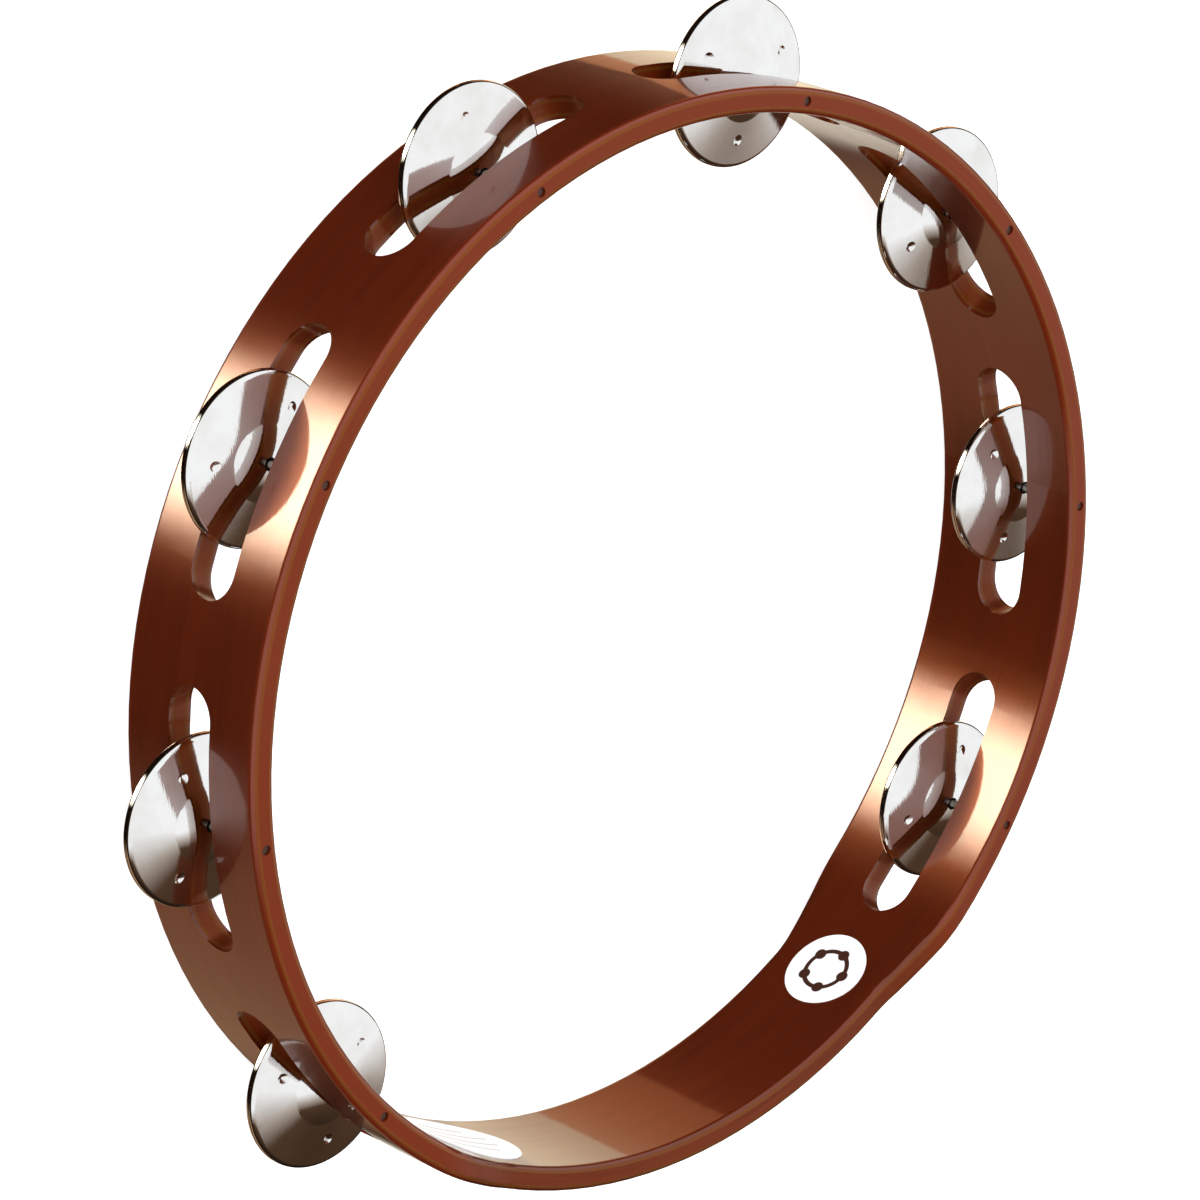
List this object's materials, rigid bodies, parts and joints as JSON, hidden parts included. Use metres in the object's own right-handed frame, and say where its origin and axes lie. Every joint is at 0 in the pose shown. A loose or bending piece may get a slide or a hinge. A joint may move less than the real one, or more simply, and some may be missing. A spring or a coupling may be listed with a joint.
{
  "type": "tambourine",
  "caption": "Headless wooden tambourine: a round bent-wood hoop with pairs of steel jingles on pins in long slots and a plain hand grip.",
  "frame": {"origin": "under the middle of the whole instrument, on the plane of the lower rim that it lies on; the hoop's own axis is 5.03 mm to the -Y side, because the jingles reach further out at +Y", "axes": "+Z along the hoop's axis, up when it lies flat; -Y through the middle of the plain grip section; +X to the right"},
  "size_m": [0.2866, 0.264, 0.042],
  "materials": {
    "lacquered_wood": "gloss",
    "ply_wood": "gloss",
    "jingle_steel": "polished",
    "pin_steel": "satin",
    "label_paper": "satin"
  },
  "bodies": {
    "hoop": {"hoop_ply_outer": "lacquered_wood", "hoop_ply_cross_outer": "ply_wood", "hoop_ply_core": "ply_wood", "hoop_ply_cross_inner": "ply_wood", "hoop_ply_inner": "lacquered_wood", "pin_1": "pin_steel", "pin_2": "pin_steel", "pin_3": "pin_steel", "pin_4": "pin_steel", "pin_5": "pin_steel", "pin_6": "pin_steel", "pin_7": "pin_steel", "pin_8": "pin_steel", "label_round": "label_paper", "label_oval": "label_paper"},
    "jingle_1_back": {"jingle_1_back": "jingle_steel"},
    "jingle_1_front": {"jingle_1_front": "jingle_steel"},
    "jingle_2_back": {"jingle_2_back": "jingle_steel"},
    "jingle_2_front": {"jingle_2_front": "jingle_steel"},
    "jingle_3_back": {"jingle_3_back": "jingle_steel"},
    "jingle_3_front": {"jingle_3_front": "jingle_steel"},
    "jingle_4_back": {"jingle_4_back": "jingle_steel"},
    "jingle_4_front": {"jingle_4_front": "jingle_steel"},
    "jingle_5_back": {"jingle_5_back": "jingle_steel"},
    "jingle_5_front": {"jingle_5_front": "jingle_steel"},
    "jingle_6_back": {"jingle_6_back": "jingle_steel"},
    "jingle_6_front": {"jingle_6_front": "jingle_steel"},
    "jingle_7_back": {"jingle_7_back": "jingle_steel"},
    "jingle_7_front": {"jingle_7_front": "jingle_steel"},
    "jingle_8_back": {"jingle_8_back": "jingle_steel"},
    "jingle_8_front": {"jingle_8_front": "jingle_steel"}
  },
  "joints": [
    {"name": "jingle_1_back_slide", "type": "slide", "parent": "hoop", "child": "jingle_1_back", "axis": [0, 0, 1], "range_m": [0, 0.0016]},
    {"name": "jingle_1_front_slide", "type": "slide", "parent": "jingle_1_back", "child": "jingle_1_front", "axis": [0, 0, 1], "range_m": [0, 0.0016]},
    {"name": "jingle_2_back_slide", "type": "slide", "parent": "hoop", "child": "jingle_2_back", "axis": [0, 0, 1], "range_m": [0, 0.0016]},
    {"name": "jingle_2_front_slide", "type": "slide", "parent": "jingle_2_back", "child": "jingle_2_front", "axis": [0, 0, 1], "range_m": [0, 0.0016]},
    {"name": "jingle_3_back_slide", "type": "slide", "parent": "hoop", "child": "jingle_3_back", "axis": [0, 0, 1], "range_m": [0, 0.0016]},
    {"name": "jingle_3_front_slide", "type": "slide", "parent": "jingle_3_back", "child": "jingle_3_front", "axis": [0, 0, 1], "range_m": [0, 0.0016]},
    {"name": "jingle_4_back_slide", "type": "slide", "parent": "hoop", "child": "jingle_4_back", "axis": [0, 0, 1], "range_m": [0, 0.0016]},
    {"name": "jingle_4_front_slide", "type": "slide", "parent": "jingle_4_back", "child": "jingle_4_front", "axis": [0, 0, 1], "range_m": [0, 0.0016]},
    {"name": "jingle_5_back_slide", "type": "slide", "parent": "hoop", "child": "jingle_5_back", "axis": [0, 0, 1], "range_m": [0, 0.0016]},
    {"name": "jingle_5_front_slide", "type": "slide", "parent": "jingle_5_back", "child": "jingle_5_front", "axis": [0, 0, 1], "range_m": [0, 0.0016]},
    {"name": "jingle_6_back_slide", "type": "slide", "parent": "hoop", "child": "jingle_6_back", "axis": [0, 0, 1], "range_m": [0, 0.0016]},
    {"name": "jingle_6_front_slide", "type": "slide", "parent": "jingle_6_back", "child": "jingle_6_front", "axis": [0, 0, 1], "range_m": [0, 0.0016]},
    {"name": "jingle_7_back_slide", "type": "slide", "parent": "hoop", "child": "jingle_7_back", "axis": [0, 0, 1], "range_m": [0, 0.0016]},
    {"name": "jingle_7_front_slide", "type": "slide", "parent": "jingle_7_back", "child": "jingle_7_front", "axis": [0, 0, 1], "range_m": [0, 0.0016]},
    {"name": "jingle_8_back_slide", "type": "slide", "parent": "hoop", "child": "jingle_8_back", "axis": [0, 0, 1], "range_m": [0, 0.0016]},
    {"name": "jingle_8_front_slide", "type": "slide", "parent": "jingle_8_back", "child": "jingle_8_front", "axis": [0, 0, 1], "range_m": [0, 0.0016]}
  ]
}
